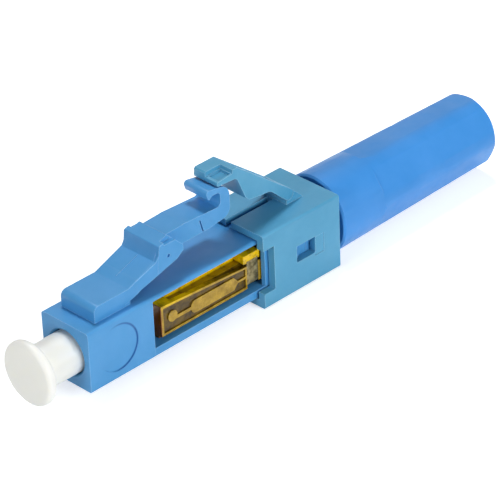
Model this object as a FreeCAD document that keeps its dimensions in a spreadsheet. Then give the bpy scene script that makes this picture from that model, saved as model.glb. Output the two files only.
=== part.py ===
import FreeCAD, Part
import math
import os
import re

import Sketcher
from FreeCAD import Vector

# Field-installable LC fibre plug.  Millimetres.  The origin is on the fibre axis at the front face
# of the plug housing, +X runs back along the fibre to the cable entry, +Z is up through the latch.

SIZES = {
    # plug housing: the standard square body of an LC plug
    "plug_width": 4.52,
    "plug_block_length": 5.85,
    "plug_window_length": 10.45,
    "plug_crown": 0.1,
    "plug_roof": 0.25,
    "plug_floor": 0.62,
    "plug_wall": 0.38,
    "plug_edge": 0.14,
    "crown_edge": 0.24,
    "rail_inset": 0.08,
    "socket_lip": 0.68,
    "nose_bore_radius": 1.65,
    "nose_bore_depth": 3.5,
    "nose_bevel": 0.14,
    "throat_radius": 0.95,
    "throat_length": 0.5,
    "flange_bore_radius": 1.58,
    "carrier_room": 0.2,
    "mark_radius": 1.75,
    "mark_depth": 0.05,
    "mark_along": 2.6,
    "mark_up": 0.1,
    # ferrule, its flange and the factory fibre
    "ferrule_radius": 0.6245,
    "ferrule_length": 6.5,
    "ferrule_tip_out": 1.9,
    "ferrule_chamfer": 0.18,
    "fibre_radius": 0.0625,
    "fibre_bond_gap": 0.015,
    "fibre_into_splice": 5.0,
    "bond_gap": 0.015,
    "flange_head_length": 1.25,
    "flange_side_gap": 0.08,
    "flange_bevel": 0.15,
    "flange_tail_radius": 0.9,
    "flange_tail_length": 2.15,
    "seat_gap": 0.02,
    "unit_travel": 0.8,
    # splice holder
    "splice_front_room": 1.05,
    "splice_overrun": 0.1,
    "splice_side_gap": 0.08,
    "splice_float": 0.03,
    "skid_inset": 0.3,
    "skid_height": 0.2,
    "heel_length": 8.15,
    "heel_height": 0.42,
    "splice_wall": 0.42,
    "splice_head_length": 1.2,
    "splice_tail_length": 0.12,
    "splice_wall_front_top": 0.95,
    "splice_wall_rear_top": 0.38,
    "splice_spigot_length": 1.8,
    "groove_gap": 0.012,
    "cover_side_gap": 0.04,
    "cover_flange_top": 0.62,
    "cover_top": 1.6,
    "cover_key_width": 1.7,
    "ear_length": 1.7,
    "ear_bottom": 0.62,
    "ear_top": 1.25,
    "clip_width": 1.05,
    "clip_sheet": 0.15,
    "clip_gap": 0.02,
    "frame_depth": 0.1,
    "frame_front": 0.24,
    "frame_edge": 0.17,
    "pad_along": 1.1,
    "pad_up": -0.22,
    "pad_radius": 0.42,
    "bar_middle": 5.05,
    "bar_up": -0.45,
    "bar_length": 4.5,
    "bar_height": 1.0,
    "bar_point": 0.45,
    "neck_height": 0.24,
    # float spring
    "spring_side_gap": 0.15,
    "spring_wire": 0.15,
    "spring_turns": 4,
    # backbone
    "backbone_gap": 0.03,
    "cup_gap": 0.5,
    "cup_depth": 1.72,
    "cup_wall": 0.4,
    "collar_length": 0.85,
    "barrel_radius": 1.85,
    "barrel_in_nut": 7.55,
    "barrel_bevel": 0.15,
    "guide_radius": 0.6,
    "mouth_length": 0.6,
    "mouth_funnel": 1.0,
    # rear housing
    "rear_length": 7.49,
    "rear_wall": 0.6,
    "rear_wall_gap": 0.06,
    "rear_edge": 0.2,
    "rear_back_wall": 1.7,
    "collar_back_gap": 0.17,
    "barrel_gap": 0.06,
    "top_slot_near": 0.12,
    "top_slot_width": 0.53,
    "top_slot_length": 4.05,
    "notch_length": 1.04,
    "notch_bottom": -1.69,
    "notch_top": 1.75,
    "window_back": 3.22,
    "window_length": 1.86,
    "window_bottom": -0.6,
    "window_top": 0.68,
    "panel_length": 0.81,
    "panel_depth": 0.06,
    "panel_rise": 0.06,
    "panel_drop": 0.25,
    "tab_length": 0.78,
    "tab_bottom": -0.34,
    "tab_gap": 0.06,
    # latch
    "latch_root_front": 1.25,
    "latch_root_width": 3.25,
    "latch_root_height": 1.31,
    "root_edge": 0.45,
    "latch_pivot_along": 4.45,
    "latch_thickness": 0.86,
    "crease_back": 2.42,
    "crease_rise": 0.88,
    "crease_step": 0.95,
    "latch_crease_width": 2.84,
    "latch_arm_width": 2.2,
    "lug_width": 3.4,
    "lug_back": 1.93,
    "lug_rear": 2.5,
    "lug_low": 0.99,
    "lug_top": 1.38,
    "lug_recess_width": 0.38,
    "lug_recess_length": 1.2,
    "lug_dimple_radius": 0.14,
    "arm_drop": 0.53,
    "arm_rise": 1.27,
    "arm_floor": 0.09,
    "arm_roof": 1.34,
    "slit_width": 0.12,
    "slit_depth": 0.15,
    "slit_back": 2.78,
    "slit_height": 0.9,
    "curl_overlap": 1.11,
    "curl_wall": 0.86,
    "curl_heel": 0.17,
    "curl_height": 2.45,
    "curl_tip_rise": 2.86,
    "curl_reach": 2.22,
    "pivot_gap": 0.03,
    # trigger
    "trigger_width": 2.25,
    "trigger_root_back": 4.39,
    "trigger_root_height": 0.73,
    "trigger_thickness": 0.84,
    "trigger_slope": 37.8,
    "trigger_reach": 6.68,
    "trigger_rise": 3.55,
    "trigger_tip_sheet": 0.32,
    "trigger_tip_length": 1.42,
    "trigger_tip_recess": 0.1,
    "trigger_belly": 2.28,
    "trigger_belly_end": 4.95,
    "trigger_rib": 0.42,
    "trigger_channel": 0.14,
    # tail nut and cable grip
    "nut_gap": 0.4,
    "nut_length": 16.45,
    "nut_front_radius": 3.05,
    "nut_rear_radius": 2.78,
    "nut_edge": 0.3,
    "nut_front_edge": 0.15,
    "flat_count": 6,
    "flat_angle": 30,
    "flat_start": 4.2,
    "flat_turn": 6,
    "flat_extra_depth": 0.05,
    "nut_bore_gap": 0.35,
    "cable_bore_radius": 1.55,
    "cable_flare": 0.25,
    "collet_length": 3.8,
    "collet_front_radius": 1.92,
    "collet_land": 0.5,
    "collet_wall": 0.25,
    "collet_gap": 0.03,
    "collet_slit": 0.3,
    "collet_slit_length": 2.9,
    # dust cap
    "cap_side_gap": 0.09,
    "cap_insertion": 2.4,
    "cap_bore_radius": 0.66,
    "cap_end_gap": 0.2,
    "cap_front": 3.56,
    "cap_flange_radius": 2.35,
    "cap_flange_length": 0.78,
    "cap_edge": 0.2,
    "cap_fillet": 0.2,
    "cap_lead": 0.15,
}

doc = FreeCAD.newDocument("lc_fibre_connector")
sheet = doc.addObject("Spreadsheet::Sheet", "Sizes")
for row, (alias, value) in enumerate(SIZES.items(), start=1):
    sheet.set(f"A{row}", alias.replace("_", " "))
    sheet.set(f"B{row}", str(value))
    sheet.setAlias(f"B{row}", alias)
doc.recompute()

DERIVED = {}


def bound(text):
    """Expression text with every size name pointing at its cell."""
    def look_up(word):
        name = word[0]
        if name in DERIVED:
            return "(" + bound(DERIVED[name]) + ")"
        return "Sizes." + name if name in SIZES else name
    return re.sub(r"[a-z][a-z0-9_]*", look_up, str(text))


def number(text):
    """Present value of an expression."""
    return float(sheet.evalExpression(bound(text)))


def bind(target, path, text):
    target.setExpression(path, bound(text))


# Places worked out from the driving sizes.
DERIVED.update({
    "plug_half": "plug_width / 2",
    "plug_top": "plug_half + plug_crown",
    "window_end": "plug_block_length + plug_window_length",
    "cavity_half": "plug_width / 2 - plug_wall",
    "cavity_bottom": "plug_floor - plug_width / 2",
    "cavity_top": "plug_top - plug_roof",
    "carrier_end": "splice_end + unit_travel + carrier_room",
    "plug_length": "cup_floor + socket_lip",
    "flange_radius": "flange_bore_radius - flange_side_gap",
    "flange_seat": "nose_bore_depth + throat_length",
    "flange_front": "flange_seat + seat_gap",
    "flange_tail_start": "flange_front + flange_head_length",
    "flange_tail_end": "flange_tail_start + flange_tail_length",
    "ferrule_end": "ferrule_length - ferrule_tip_out",
    "splice_half": "cavity_half - splice_side_gap",
    "splice_bottom": "cavity_bottom + splice_float",
    "splice_front": "plug_block_length + splice_front_room",
    "splice_end": "window_end + splice_overrun",
    "heel_end": "splice_front + heel_length",
    "heel_up": "splice_bottom + heel_height",
    "trough_half": "splice_half - splice_wall",
    "groove_plane": "0 - fibre_radius / 2",
    "ear_front": "splice_end - ear_length",
    "trough_front": "splice_front + splice_head_length",
    "trough_end": "splice_end - splice_tail_length",
    "cover_end": "trough_end - seat_gap",
    "cover_front": "trough_front + seat_gap",
    "clip_front": "splice_end - ear_length / 2 - clip_width / 2",
    "cup_front": "carrier_end + cup_gap",
    "cup_floor": "cup_front + cup_depth",
    "cup_radius": "cavity_half - backbone_gap",
    "spring_radius": "cup_radius - cup_wall - spring_side_gap - spring_wire",
    "splice_spigot_radius": "spring_radius - spring_wire - spring_side_gap",
    "spring_start": "splice_end + seat_gap",
    "spring_end": "cup_floor - seat_gap",
    "collar_start": "plug_length + backbone_gap",
    "collar_end": "collar_start + collar_length",
    "rear_inner_half": "plug_half + rear_wall_gap",
    "rear_inner_top": "plug_top + rear_wall_gap",
    "rear_half": "rear_inner_half + rear_wall",
    "back_wall_start": "collar_end + collar_back_gap",
    "rear_end": "back_wall_start + rear_back_wall",
    "rear_start": "rear_end - rear_length",
    "window_front": "rear_start + window_back",
    "nut_front": "rear_end + nut_gap",
    "nut_end": "nut_front + nut_length",
    "barrel_end": "nut_front + barrel_in_nut",
    "nut_bore_radius": "barrel_radius + nut_bore_gap",
    "collet_front": "barrel_end + seat_gap",
    "collet_end": "collet_front + collet_length",
    "collet_rear_radius": "cable_bore_radius + collet_wall",
    "cap_barrel_radius": "nose_bore_radius - cap_side_gap",
    "latch_radius": "latch_thickness / 2",
    "latch_root_top": "plug_half + latch_root_height",
    "latch_pivot_up": "latch_root_top - latch_thickness / 2",
    "crease_along": "latch_pivot_along + crease_back",
    "crease_up": "latch_root_top + crease_rise",
    "curl_back": "trigger_tip + curl_overlap",
    "trigger_pivot_along": "rear_start + trigger_root_back",
    "trigger_pivot_up": "rear_half + trigger_root_height",
    "trigger_tip": "trigger_pivot_along - trigger_reach",
    "trigger_tip_up": "trigger_pivot_up + trigger_rise",
    "trigger_radius": "trigger_thickness / 2",
    "trigger_half": "trigger_width / 2",
    "top_along": "trigger_pivot_along + trigger_radius * sin(trigger_slope)",
    "top_up": "trigger_pivot_up + trigger_radius * cos(trigger_slope)",
})

PLANES = {"side": "XZ_Plane", "plan": "XY_Plane", "end": "YZ_Plane"}


def new_body(label):
    body = doc.addObject("PartDesign::Body", label)
    body.Label = label
    return body


def plane_of(body, role):
    return next(item for item in body.Origin.OriginFeatures if item.Role == role)


def new_sketch(body, name, view, offset="0"):
    """Sketch on one of the body's own planes, moved along that plane's normal."""
    sketch = body.newObject("Sketcher::SketchObject", name)
    sketch.AttachmentSupport = [(plane_of(body, PLANES[view]), "")]
    sketch.MapMode = "FlatFace"
    bind(sketch, "AttachmentOffset.Base.z", offset)
    return sketch


def place_point(sketch, geometry, position, across, up):
    """Tie one point of the sketch to a pair of expressions."""
    for kind, text in (("DistanceX", across), ("DistanceY", up)):
        index = sketch.addConstraint(
            Sketcher.Constraint(kind, -1, 1, geometry, position, number(text)))
        bind(sketch, f"Constraints[{index}]", text)


def draw_outline(sketch, corners):
    """Closed outline through the corners; a third entry rounds that corner."""
    corners = [tuple(corner) + ("0",) * (3 - len(corner)) for corner in corners]
    points = [Vector(number(corner[0]), number(corner[1]), 0) for corner in corners]
    radii = [number(corner[2]) for corner in corners]
    count = len(corners)
    entry, leave, centre = [], [], []
    for index, point in enumerate(points):
        back = (points[index - 1] - point).normalize()
        ahead = (points[(index + 1) % count] - point).normalize()
        half = back.getAngle(ahead) / 2
        reach = radii[index] / math.tan(half) if radii[index] else 0.0
        entry.append(point + back * reach)
        leave.append(point + ahead * reach)
        middle = (back + ahead)
        middle = middle.normalize() if radii[index] else Vector()
        centre.append(point + middle * (radii[index] / math.sin(half) if radii[index] else 0.0))
    lines = [sketch.addGeometry(Part.LineSegment(leave[index], entry[(index + 1) % count]), False)
             for index in range(count)]
    for index in range(count):
        before, after = lines[index - 1], lines[index]
        across, up, radius = corners[index]
        if not radii[index]:
            sketch.addConstraint(Sketcher.Constraint("Coincident", before, 2, after, 1))
            place_point(sketch, after, 1, across, up)
            continue
        turn = (points[index] - points[index - 1]).cross(points[(index + 1) % count] - points[index]).z
        first, last = (entry, leave) if turn > 0 else (leave, entry)
        start = first[index] - centre[index]
        stop = last[index] - centre[index]
        circle = Part.Circle(centre[index], Vector(0, 0, 1), radii[index])
        arc = sketch.addGeometry(
            Part.ArcOfCircle(circle, math.atan2(start.y, start.x), math.atan2(stop.y, stop.x)), False)
        entry_end, leave_end = (1, 2) if turn > 0 else (2, 1)
        corner_mark = sketch.addGeometry(Part.Point(points[index]), True)
        place_point(sketch, corner_mark, 1, across, up)
        sketch.addConstraint([
            Sketcher.Constraint("PointOnObject", corner_mark, 1, before),
            Sketcher.Constraint("PointOnObject", corner_mark, 1, after),
            Sketcher.Constraint("Tangent", before, 2, arc, entry_end),
            Sketcher.Constraint("Tangent", arc, leave_end, after, 1),
        ])
        rounding = sketch.addConstraint(Sketcher.Constraint("Radius", arc, radii[index]))
        bind(sketch, f"Constraints[{rounding}]", radius)


def draw_circle(sketch, across, up, radius):
    middle = Vector(number(across), number(up), 0)
    circle = sketch.addGeometry(Part.Circle(middle, Vector(0, 0, 1), number(radius)), False)
    place_point(sketch, circle, 3, across, up)
    index = sketch.addConstraint(Sketcher.Constraint("Radius", circle, number(radius)))
    bind(sketch, f"Constraints[{index}]", radius)


def rectangle(left, low, right, high, rounding="0"):
    return [(left, low, rounding), (right, low, rounding), (right, high, rounding), (left, high, rounding)]


def extrude(body, kind, name, view, shape, length, offset="0", both=True, flip=False):
    """Pad or pocket of an outline (a list of corners) or a circle (a tuple of three)."""
    sketch = new_sketch(body, name + "_outline", view, offset)
    if isinstance(shape, tuple):
        draw_circle(sketch, *shape)
    else:
        draw_outline(sketch, shape)
    feature = body.newObject("PartDesign::" + kind, name)
    feature.Profile = sketch
    bind(feature, "Length", length)
    if both:
        feature.SideType = "Symmetric"
    feature.Reversed = flip
    sketch.Visibility = False
    doc.recompute()
    return feature


def pad(body, name, view, shape, length, **how):
    return extrude(body, "Pad", name, view, shape, length, **how)


def pocket(body, name, view, shape, length, **how):
    return extrude(body, "Pocket", name, view, shape, length, **how)


def turn(body, kind, name, corners):
    """Revolution or groove of a half section about the fibre axis."""
    sketch = new_sketch(body, name + "_section", "side")
    draw_outline(sketch, corners)
    feature = body.newObject("PartDesign::" + kind, name)
    feature.Profile = sketch
    feature.ReferenceAxis = (sketch, ["H_Axis"])
    feature.Angle = 360
    doc.recompute()
    return feature


def bore(body, name, start, end, radius):
    return turn(body, "Groove", name, rectangle(start, "0", end, radius))


# --- plug housing: one moulding with a round nose socket, a windowed middle and a rear socket -----

def make_plug_housing():
    body = new_body("plug_housing")
    pad(body, "block", "end",
        [("0 - plug_half", "0 - plug_half", "plug_edge"),
         ("plug_half", "0 - plug_half", "plug_edge"),
         ("plug_half", "plug_top", "crown_edge"),
         ("0 - plug_half", "plug_top", "crown_edge")],
        "plug_length", both=False)
    for side in ("", "0 - "):
        shape = rectangle("plug_block_length", "0 - plug_half - 1", "plug_length + 1", "cavity_bottom")
        offset = side + "(plug_half + 1)"
        pocket(body, "rail_step_" + ("near" if not side else "far"), "side", shape,
               "1 + rail_inset", offset=offset, both=False, flip=bool(side))
    turn(body, "Groove", "nose_socket", [
        ("0", "0"),
        ("nose_bore_depth", "0"),
        ("nose_bore_depth", "nose_bore_radius"),
        ("nose_bevel", "nose_bore_radius"),
        ("0", "nose_bore_radius + nose_bevel"),
    ])
    bore(body, "throat", "nose_bore_depth - 1", "flange_seat + 1", "throat_radius")
    bore(body, "flange_bore", "flange_seat", "plug_block_length + 1", "flange_bore_radius")
    pocket(body, "carrier_bay", "end",
           rectangle("0 - cavity_half", "cavity_bottom", "cavity_half", "cavity_top"),
           "carrier_end - plug_block_length", offset="plug_block_length", both=False, flip=True)
    bore(body, "rear_socket", "carrier_end - 1", "plug_length + 1", "cavity_half")
    pocket(body, "windows", "side",
           rectangle("plug_block_length", "cavity_bottom", "window_end", "cavity_top"),
           "plug_width + 2")
    for side in ("", "0 - "):
        pocket(body, "ejector_mark_" + ("near" if not side else "far"), "side",
               ("mark_along", "mark_up", "mark_radius"), "1 + mark_depth",
               offset=side + "(plug_half + 1)", both=False, flip=bool(side))
    pad(body, "latch_root", "side",
        [("latch_root_front", "plug_half"),
         ("latch_pivot_along", "plug_half"),
         ("latch_pivot_along", "latch_root_top"),
         ("latch_root_front", "latch_root_top", "root_edge")],
        "latch_root_width")
    pocket(body, "latch_seat", "side",
           ("latch_pivot_along", "latch_pivot_up", "latch_radius + pivot_gap"), "plug_width")
    reach = "(rear_half - panel_depth - plug_half)"
    tab_front = "window_front + tab_gap"
    for side in ("", "0 - "):
        across = [side + text for text in ("(plug_half - 0.1)", "(plug_half - 0.1)",
                                           "(plug_half + 0.1)", "(plug_half + " + reach + ")")]
        along = (tab_front, tab_front + " + tab_length", tab_front + " + tab_length", tab_front)
        pad(body, "snap_tab_" + ("far" if not side else "near"), "plan",
            list(zip(along, across)), "window_top - tab_gap - tab_bottom",
            offset="tab_bottom", both=False)
    return body


# --- latch: springs from the root above, carries two catch lugs and ends in an upward curl --------

def make_latch_lever():
    body = new_body("latch_lever")
    pivot = ("latch_pivot_along", "latch_pivot_up")
    low = "latch_pivot_up - latch_radius"
    pad(body, "arm_and_curl", "side", [
        (pivot[0], low),
        ("crease_along + lug_back", "crease_up - arm_drop", "0.4"),
        ("crease_along + lug_rear + 0.25", "crease_up - arm_floor - 0.03", "0.4"),
        ("curl_back - 2", "crease_up - arm_floor", "1.0"),
        ("curl_back", "crease_up + curl_heel", "0.72"),
        ("curl_back", "crease_up + curl_height", "0.95"),
        ("curl_back - curl_reach", "crease_up + curl_tip_rise", "0.24"),
        ("curl_back - curl_reach + 0.28", "crease_up + curl_tip_rise - curl_wall", "0.1"),
        ("curl_back - 1.62", "crease_up + curl_height - 0.18", "0.12"),
        ("curl_back - curl_wall", "crease_up + curl_height - 0.2", "0.32"),
        ("curl_back - curl_wall", "crease_up + arm_roof - 0.17", "0.36"),
        ("crease_along + lug_rear + 0.8", "crease_up + arm_roof", "0.5"),
        ("crease_along + 1.55", "crease_up + arm_rise", "0.3"),
        ("crease_along + 0.43", "crease_up + crease_step", "0.12"),
        ("crease_along", "crease_up", "0.08"),
        (pivot[0] + " - 0.1", "latch_root_top"),
        (pivot[0] + " - 0.1", low + " + 0.3"),
        (pivot[0], low + " + 0.3"),
    ], "lug_width")
    # plan of the arm: tapers to the crease, then steps in behind the lugs
    for side in ("", "0 - "):
        half = [side + "(" + text + " / 2)" for text in
                ("latch_root_width", "latch_crease_width", "latch_arm_width")]
        outside = side + "(lug_width / 2 + 1)"
        name = "arm_side_" + ("far" if not side else "near")
        pocket(body, name, "plan", [
            ("latch_pivot_along - 1", half[0]),
            ("latch_pivot_along", half[0]),
            ("crease_along + 0.3", half[1]),
            ("crease_along + 0.75", half[2]),
            ("curl_back + 1", half[2]),
            ("curl_back + 1", outside),
            ("latch_pivot_along - 1", outside),
        ], "40")
    pad(body, "knuckle", "side", pivot + ("latch_radius",), "latch_root_width")
    pad(body, "lugs", "side", [
        ("crease_along + 0.1", "crease_up - lug_low", "0.1"),
        ("crease_along + lug_back", "crease_up - arm_drop", "0.15"),
        ("crease_along + lug_rear", "crease_up - arm_floor", "0.12"),
        ("crease_along + lug_rear", "crease_up + 0.3", "0.12"),
        ("crease_along + lug_rear - lug_top + 0.3", "crease_up + lug_top", "0.15"),
        ("crease_along + 0.33", "crease_up + crease_step + 0.13", "0.1"),
    ], "lug_width")
    slit_top = "crease_up + slit_height"
    slit_low = "crease_up - 2 * arm_floor"
    for side in ("", "0 - "):
        name = "far" if not side else "near"
        step = side + "(lug_width / 2 - lug_recess_width)"
        outside = side + "(lug_width / 2 + 1)"
        recess_end = "crease_along + 0.75 + lug_recess_length"
        pocket(body, "lug_recess_" + name, "plan", [
            ("crease_along + 0.75", step),
            (recess_end, step),
            (recess_end, outside),
            ("crease_along + 0.75", outside),
        ], "2", offset="crease_up + arm_rise - 0.27", both=False, flip=True)
        other = "0 - " if not side else ""
        pocket(body, "lug_dimple_" + name, "side",
               ("crease_along + 1.13", "crease_up + 0.05", "lug_dimple_radius"), "1 + slit_depth",
               offset=other + "(lug_width / 2 + 1)", both=False, flip=bool(other))
        pocket(body, "arm_slit_" + name, "side", [
            ("curl_back - slit_back", slit_top),
            ("curl_back - slit_back - slit_width", slit_top),
            ("curl_back - slit_back - slit_width + 0.28", slit_low),
            ("curl_back - slit_back + 0.28", slit_low),
        ], "1 + slit_depth", offset=other + "(latch_arm_width / 2 + 1)", both=False, flip=bool(other))
    return body


# --- trigger: slopes up and forward from the rear housing, its tip resting over the latch curl -----

def on_top(distance):
    """Point on the trigger's straight top, measured forward from its root."""
    return (f"top_along - ({distance}) * cos(trigger_slope)",
            f"top_up + ({distance}) * sin(trigger_slope)")


def make_trigger_lever():
    body = new_body("trigger_lever")
    top_length = "(top_along - trigger_tip - trigger_tip_length - 0.06) / cos(trigger_slope)"
    crown = on_top(top_length)
    pad(body, "lever", "side", [
        on_top("0"),
        crown + ("0.12",),
        ("trigger_tip + trigger_tip_length", "trigger_tip_up + trigger_tip_sheet + 0.1", "0.05"),
        ("trigger_tip", "trigger_tip_up + trigger_tip_sheet", "0.1"),
        ("trigger_tip", "trigger_tip_up", "0.08"),
        ("trigger_tip + trigger_tip_length + 0.4", "trigger_tip_up - 0.1", "0.45"),
        ("trigger_tip + trigger_tip_length + 1.3", "trigger_tip_up - trigger_belly", "0.75"),
        ("trigger_tip + trigger_belly_end", "trigger_tip_up - trigger_belly - 0.24", "0.9"),
        ("trigger_pivot_along - 0.28", "trigger_pivot_up - 0.33"),
    ], "trigger_width")
    pad(body, "knuckle", "side",
        ("trigger_pivot_along", "trigger_pivot_up", "trigger_radius"), "trigger_width")
    channel_start = on_top("0.9")
    channel_end = on_top(top_length + " - 0.6")
    lift = ("sin(trigger_slope)", "cos(trigger_slope)")

    def shifted(point, distance):
        return (f"{point[0]} + ({distance}) * {lift[0]}", f"{point[1]} + ({distance}) * {lift[1]}")

    pocket(body, "top_channel", "side", [
        shifted(channel_start, "0 - trigger_channel"),
        shifted(channel_end, "0 - trigger_channel"),
        shifted(channel_end, "1"),
        shifted(channel_start, "1"),
    ], "trigger_width - 2 * trigger_rib")
    pocket(body, "tip_recess", "plan",
           rectangle("trigger_tip + 0.22", "0.12 - trigger_half",
                     "trigger_tip + trigger_tip_length - 0.06", "0 - 0.02"),
           "2", offset="trigger_tip_up + trigger_tip_sheet - trigger_tip_recess", both=False, flip=True)
    return body


# --- rear housing: square shell over the back of the plug, with the trigger's root on its roof -----

def make_rear_housing():
    body = new_body("rear_housing")
    pad(body, "shell", "end",
        rectangle("0 - rear_half", "0 - rear_half", "rear_half", "rear_half", "rear_edge"),
        "rear_length", offset="rear_start", both=False)
    pocket(body, "bay", "end",
           rectangle("0 - rear_inner_half", "0 - rear_inner_half", "rear_inner_half", "rear_inner_top"),
           "rear_length - rear_back_wall", offset="rear_start", both=False, flip=True)
    bore(body, "barrel_hole", "back_wall_start - 1", "rear_end + 1", "barrel_radius + barrel_gap")
    pocket(body, "front_notches", "side",
           rectangle("rear_start - 1", "notch_bottom", "rear_start + notch_length", "notch_top"),
           "2 * rear_half + 2")
    pocket(body, "side_windows", "side",
           rectangle("window_front", "window_bottom", "window_front + window_length", "window_top"),
           "2 * rear_half + 2")
    for side in ("", "0 - "):
        pocket(body, "panel_" + ("near" if not side else "far"), "side",
               rectangle("window_front + window_length - 0.1", "window_bottom - panel_drop",
                         "window_front + window_length + panel_length", "window_top - panel_rise"),
               "1 + panel_depth", offset=side + "(rear_half + 1)", both=False, flip=bool(side))
    pocket(body, "top_slot", "plan",
           rectangle("rear_start - 1", "top_slot_near",
                     "rear_start + top_slot_length", "top_slot_near + top_slot_width"),
           "rear_half - rear_inner_top + 1", offset="rear_inner_top - 0.5", both=False, flip=True)
    root_front = "trigger_pivot_along - 0.25"
    root_low = "rear_half - 0.1"
    run_out = "top_along + (top_up - " + root_low + ") / tan(trigger_slope)"
    pad(body, "trigger_root", "side", [
        (root_front, root_low),
        (run_out, root_low),
        ("top_along", "top_up"),
        ("trigger_pivot_along", "trigger_pivot_up"),
        (root_front, "trigger_pivot_up - trigger_radius - 0.08"),
    ], "trigger_width")
    pocket(body, "trigger_seat", "side",
           ("trigger_pivot_along", "trigger_pivot_up", "trigger_radius + pivot_gap"), "2 * rear_half")
    return body


# --- ferrule, flange and fibre -----------------------------------------------------------------

def make_ferrule():
    body = new_body("ferrule")
    turn(body, "Revolution", "rod", [
        ("0 - ferrule_tip_out", "fibre_radius + fibre_bond_gap"),
        ("ferrule_end", "fibre_radius + fibre_bond_gap"),
        ("ferrule_end", "ferrule_radius"),
        ("0 - ferrule_tip_out + ferrule_chamfer", "ferrule_radius"),
        ("0 - ferrule_tip_out", "ferrule_radius - ferrule_chamfer"),
    ])
    return body


def make_ferrule_flange():
    body = new_body("ferrule_flange")
    hold = "ferrule_radius + bond_gap"
    turn(body, "Revolution", "flange", [
        ("flange_front", hold),
        ("ferrule_end + seat_gap", hold),
        ("ferrule_end + seat_gap", "fibre_radius * 3"),
        ("flange_tail_end", "fibre_radius * 3"),
        ("flange_tail_end", "flange_tail_radius"),
        ("flange_tail_start", "flange_tail_radius"),
        ("flange_tail_start", "flange_radius - flange_bevel"),
        ("flange_tail_start - flange_bevel", "flange_radius"),
        ("flange_front + flange_bevel", "flange_radius"),
        ("flange_front", "flange_radius - flange_bevel"),
    ])
    return body


def make_fibre_stub():
    body = new_body("fibre_stub")
    turn(body, "Revolution", "fibre",
         rectangle("0 - ferrule_tip_out", "0", "splice_front + fibre_into_splice", "fibre_radius"))
    return body


# --- splice holder: a trough with a vee groove, a lid keyed into it and a steel clip at the back ----

def make_splice_base():
    body = new_body("splice_base")
    pad(body, "trough", "side", [
        ("splice_front", "splice_bottom"),
        ("heel_end", "splice_bottom"),
        ("heel_end", "heel_up"),
        ("splice_end", "heel_up"),
        ("splice_end", "splice_wall_rear_top"),
        ("ear_front", "splice_wall_rear_top"),
        ("splice_front", "splice_wall_front_top"),
    ], "2 * splice_half")
    pocket(body, "trough_floor", "end",
           rectangle("0 - trough_half", "groove_plane", "trough_half", "splice_wall_front_top + 1"),
           "trough_end - trough_front", offset="trough_front", both=False, flip=True)
    apex = "0 - 2 * (fibre_radius + groove_gap)"
    flank = "(groove_plane + 0.2 + 2 * (fibre_radius + groove_gap)) * tan(30)"
    pocket(body, "vee_groove", "end",
           [("0", apex), (flank, "groove_plane + 0.2"), ("0 - " + flank, "groove_plane + 0.2")],
           "trough_end - trough_front", offset="trough_front - 0.1", both=False, flip=True)
    bore(body, "flange_socket", "splice_front - 1", "flange_tail_end + seat_gap",
         "flange_tail_radius + bond_gap")
    bore(body, "fibre_way", "splice_front", "trough_front + 0.1", "fibre_radius * 3")
    turn(body, "Revolution", "spring_spigot", [
        ("trough_end", "0.35"),
        ("splice_end + splice_spigot_length", "0.35"),
        ("splice_end + splice_spigot_length", "splice_spigot_radius - 0.15"),
        ("splice_end + splice_spigot_length - 0.15", "splice_spigot_radius"),
        ("trough_end", "splice_spigot_radius"),
    ])
    bore(body, "fibre_funnel", "trough_end - 0.3", "splice_end + 0.1", "0.35")
    clip_room = "clip_sheet + clip_gap"
    pocket(body, "clip_slot_under", "plan",
           rectangle("clip_front - clip_gap", "0 - splice_half - 1",
                     "clip_front + clip_width + clip_gap", "splice_half + 1"),
           "1 + " + clip_room, offset="heel_up - 1", both=False, flip=True)
    bar_start = "splice_front + bar_middle - bar_length / 2"
    bar_end = "splice_front + bar_middle + bar_length / 2"
    bar_low = "bar_up - bar_height / 2"
    bar_high = "bar_up + bar_height / 2"
    frame_front_top = "splice_wall_front_top - frame_edge - 0.03"
    for side in ("", "0 - "):
        name = "near" if not side else "far"
        outer = {"offset": side + "(splice_half + 1)", "both": False, "flip": bool(side)}
        pocket(body, "clip_slot_" + name, "side",
               rectangle("clip_front - clip_gap", "heel_up - 1",
                         "clip_front + clip_width + clip_gap", "splice_wall_rear_top + 1"),
               "1 + " + clip_room, **outer)
        pocket(body, "skid_step_" + name, "side",
               rectangle("splice_front - 1", "splice_bottom - 1", "heel_end + 1",
                         "splice_bottom + skid_height"),
               "1 + skid_inset", **outer)
        pocket(body, "side_frame_" + name, "side", [
            ("splice_front + frame_front", "splice_bottom + skid_height + frame_edge"),
            ("heel_end - frame_edge", "splice_bottom + skid_height + frame_edge"),
            ("heel_end - frame_edge", "splice_wall_rear_top - frame_edge + 0.03"),
            ("splice_front + frame_front", frame_front_top),
        ], "1 + frame_depth", **outer)
        inner = {"offset": side + "(splice_half - frame_depth - 0.05)", "both": False,
                 "flip": bool(side)}
        height = "frame_depth + 0.05"
        pad(body, "pad_relief_" + name, "side",
            ("splice_front + pad_along", "pad_up", "pad_radius"), height, **inner)
        pad(body, "bar_relief_" + name, "side", [
            (bar_start, bar_low, "bar_point"),
            (bar_end + " - bar_point", bar_low, "0.1"),
            (bar_end, "bar_up", "0.1"),
            (bar_end + " - bar_point", bar_high, "0.1"),
            (bar_start, bar_high, "bar_point"),
        ], height, **inner)
        pad(body, "neck_relief_" + name, "side",
            rectangle("splice_front + pad_along + pad_radius / 2", "bar_up - neck_height / 2",
                      bar_start + " + 0.2", "bar_up + neck_height / 2"),
            height, **inner)
        pad(body, "tail_relief_" + name, "side",
            rectangle(bar_end + " - bar_point", "bar_up - neck_height / 3",
                      "heel_end - frame_edge / 2", "bar_up + neck_height / 3"),
            height, **inner)
    return body


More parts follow.
